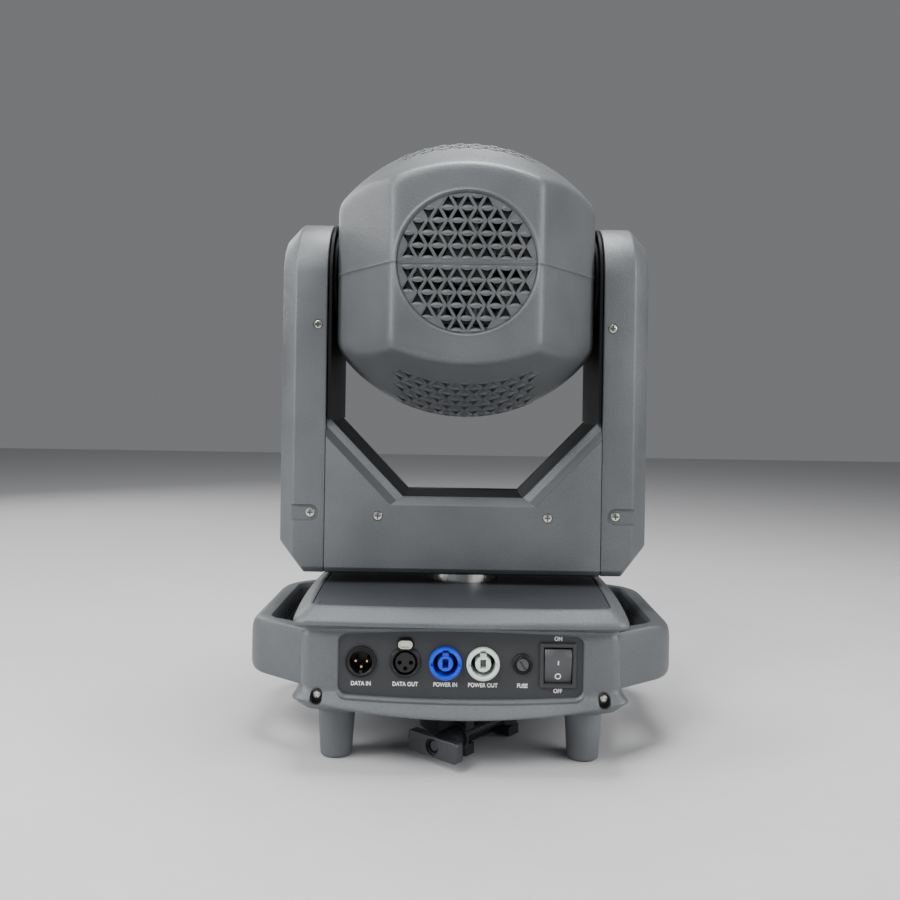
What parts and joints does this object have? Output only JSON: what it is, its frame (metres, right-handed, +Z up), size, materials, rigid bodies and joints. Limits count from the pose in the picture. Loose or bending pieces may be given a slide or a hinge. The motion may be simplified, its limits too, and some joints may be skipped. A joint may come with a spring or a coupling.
{
  "type": "moving head light",
  "caption": "Moving head stage light: base with handles, feet, rear sockets and folding tube clamp, panning yoke, tilting head with lattice grilles.",
  "frame": {"origin": "on the floor under the pan axis, midway between the four feet", "axes": "+Z up along the pan axis, connector side to -Y, lens to +Y at rest, +X to the right seen from the connector side"},
  "size_m": [0.344, 0.276, 0.4955],
  "materials": {
    "body_grey": "fine-grained dark grey moulding",
    "foot_grey": "matt grey rubber",
    "black_steel": "black powder coat",
    "panel_grey": "dark grey powder coat",
    "bare_aluminium": "turned aluminium",
    "clamp_metal": "dark tumbled aluminium",
    "screw_steel": "zinc-plated steel",
    "black_plastic": "matt black",
    "blue_plastic": "saturated blue",
    "white_plastic": "pale white",
    "bright_metal": "nickel plate",
    "belt_rubber": "black toothed belt",
    "filter_glass": "dichroic filters in a thin wheel",
    "lens_glass": "clear domed glass"
  },
  "bodies": {
    "root": {"feet": "foot_grey", "base_bottom": "body_grey", "base_cover": "body_grey", "deck_plate": "body_grey", "connector_panel": "panel_grey", "handle_left": "body_grey", "handle_right": "body_grey", "base_screws": "screw_steel", "data_in_socket": "black_plastic", "data_out_socket": "black_plastic", "power_in_socket": "blue_plastic", "power_out_socket": "white_plastic", "fuse_holder": "black_plastic", "switch_frame": "black_plastic", "display": "black_plastic", "power_supply": "bare_aluminium", "pan_tube": "bare_aluminium", "pan_pulley": "bare_aluminium", "bracket_lugs": "black_steel"},
    "data_out_latch": {"data_out_latch": "bright_metal"},
    "fuse_cap": {"fuse_cap": "black_plastic"},
    "switch_rocker": {"switch_rocker": "black_plastic"},
    "menu_button_1": {"menu_button_1": "body_grey"},
    "menu_button_2": {"menu_button_2": "body_grey"},
    "menu_button_3": {"menu_button_3": "body_grey"},
    "menu_button_4": {"menu_button_4": "body_grey"},
    "bracket": {"hanging_bracket": "black_steel", "clamp_base": "clamp_metal", "clamp_jaw": "clamp_metal", "clamp_hinge_pin": "screw_steel", "clamp_bolt": "screw_steel"},
    "clamp_washer": {"clamp_washer": "clamp_metal"},
    "wing_nut": {"wing_nut": "clamp_metal"},
    "yoke": {"yoke_crossbar": "black_steel", "yoke_arm_left": "black_steel", "yoke_arm_right": "black_steel", "crossbar_cover_rear": "body_grey", "crossbar_cover_front": "body_grey", "arm_cover_left": "body_grey", "arm_cover_right": "body_grey", "pan_bearing": "screw_steel", "tilt_bearings": "screw_steel", "pan_motor": "black_steel", "pan_belt": "belt_rubber", "tilt_motor": "black_steel", "tilt_belt": "belt_rubber", "yoke_screws": "screw_steel"},
    "pan_motor_pulley": {"pan_motor_pulley": "bare_aluminium"},
    "tilt_motor_pulley": {"tilt_motor_pulley": "bare_aluminium"},
    "head": {"head_shell_upper": "body_grey", "head_shell_lower": "body_grey", "head_chassis": "bare_aluminium", "tilt_hubs": "black_steel", "led_heatsink": "bare_aluminium", "fan_frame": "black_plastic", "front_lens": "lens_glass"},
    "fan_rotor": {"fan_rotor": "black_plastic"},
    "colour_wheel": {"colour_wheel": "filter_glass"},
    "gobo_wheel": {"gobo_wheel": "filter_glass"},
    "focus_carriage": {"focus_carriage": "black_plastic"}
  },
  "joints": [
    {"name": "pan", "type": "hinge", "parent": "root", "child": "yoke", "pos_m": [0, 0, 0.13], "axis": [0, 0, 1], "range_deg": [-270, 270]},
    {"name": "tilt", "type": "hinge", "parent": "yoke", "child": "head", "pos_m": [0, 0, 0.3785], "axis": [1, 0, 0], "range_deg": [-45, 225]},
    {"name": "pan_motor_spin", "type": "hinge", "parent": "yoke", "child": "pan_motor_pulley", "pos_m": [-0.082, 0, 0.155], "axis": [0, 0, 1], "range_deg": [-1350, 1350]},
    {"name": "tilt_motor_spin", "type": "hinge", "parent": "yoke", "child": "tilt_motor_pulley", "pos_m": [-0.13, 0, 0.2285], "axis": [1, 0, 0], "range_deg": [-180, 900]},
    {"name": "fan_spin", "type": "hinge", "parent": "head", "child": "fan_rotor", "pos_m": [0, -0.1, 0.3785], "axis": [0, 1, 0], "continuous": true},
    {"name": "colour_wheel_spin", "type": "hinge", "parent": "head", "child": "colour_wheel", "pos_m": [-0.034, -0.025, 0.3785], "axis": [0, 1, 0], "continuous": true},
    {"name": "gobo_wheel_spin", "type": "hinge", "parent": "head", "child": "gobo_wheel", "pos_m": [0.034, -0.012, 0.3785], "axis": [0, 1, 0], "continuous": true},
    {"name": "focus", "type": "slide", "parent": "head", "child": "focus_carriage", "axis": [0, 1, 0], "range_m": [-0.035, 0.045]},
    {"name": "power_switch", "type": "hinge", "parent": "root", "child": "switch_rocker", "pos_m": [0.072, -0.1259, 0.08], "axis": [1, 0, 0], "range_deg": [-22, 0]},
    {"name": "data_out_release", "type": "slide", "parent": "root", "child": "data_out_latch", "axis": [0, 0, -1], "range_m": [0, 0.002], "stiffness_N_per_m": 600},
    {"name": "fuse_cap_turn", "type": "hinge", "parent": "root", "child": "fuse_cap", "pos_m": [0.0457, -0.13, 0.0805], "axis": [0, -1, 0], "range_deg": [0, 90]},
    {"name": "bracket_fold", "type": "hinge", "parent": "root", "child": "bracket", "pos_m": [0.03798, 0.01773, 0.022], "axis": [0.766, -0.6428, 0], "range_deg": [0, 90]},
    {"name": "nut_travel", "type": "slide", "parent": "bracket", "child": "clamp_washer", "axis": [-0.6428, -0.766, 0], "range_m": [0, 0.003]},
    {"name": "wing_nut_turn", "type": "hinge", "parent": "clamp_washer", "child": "wing_nut", "pos_m": [-0.00114, -0.09891, 0.0155], "axis": [-0.6428, -0.766, 0], "range_deg": [0, 720]},
    {"name": "menu_press_1", "type": "slide", "parent": "root", "child": "menu_button_1", "axis": [0, -1, 0], "range_m": [0, 0.0012], "stiffness_N_per_m": 400},
    {"name": "menu_press_2", "type": "slide", "parent": "root", "child": "menu_button_2", "axis": [0, -1, 0], "range_m": [0, 0.0012], "stiffness_N_per_m": 400},
    {"name": "menu_press_3", "type": "slide", "parent": "root", "child": "menu_button_3", "axis": [0, -1, 0], "range_m": [0, 0.0012], "stiffness_N_per_m": 400},
    {"name": "menu_press_4", "type": "slide", "parent": "root", "child": "menu_button_4", "axis": [0, -1, 0], "range_m": [0, 0.0012], "stiffness_N_per_m": 400}
  ],
  "couplings": [
    {"joint": "pan_motor_spin", "follows": "pan", "ratio": -5},
    {"joint": "tilt_motor_spin", "follows": "tilt", "ratio": 4},
    {"joint": "nut_travel", "follows": "wing_nut_turn", "m_per_rad": 0.00023873}
  ]
}
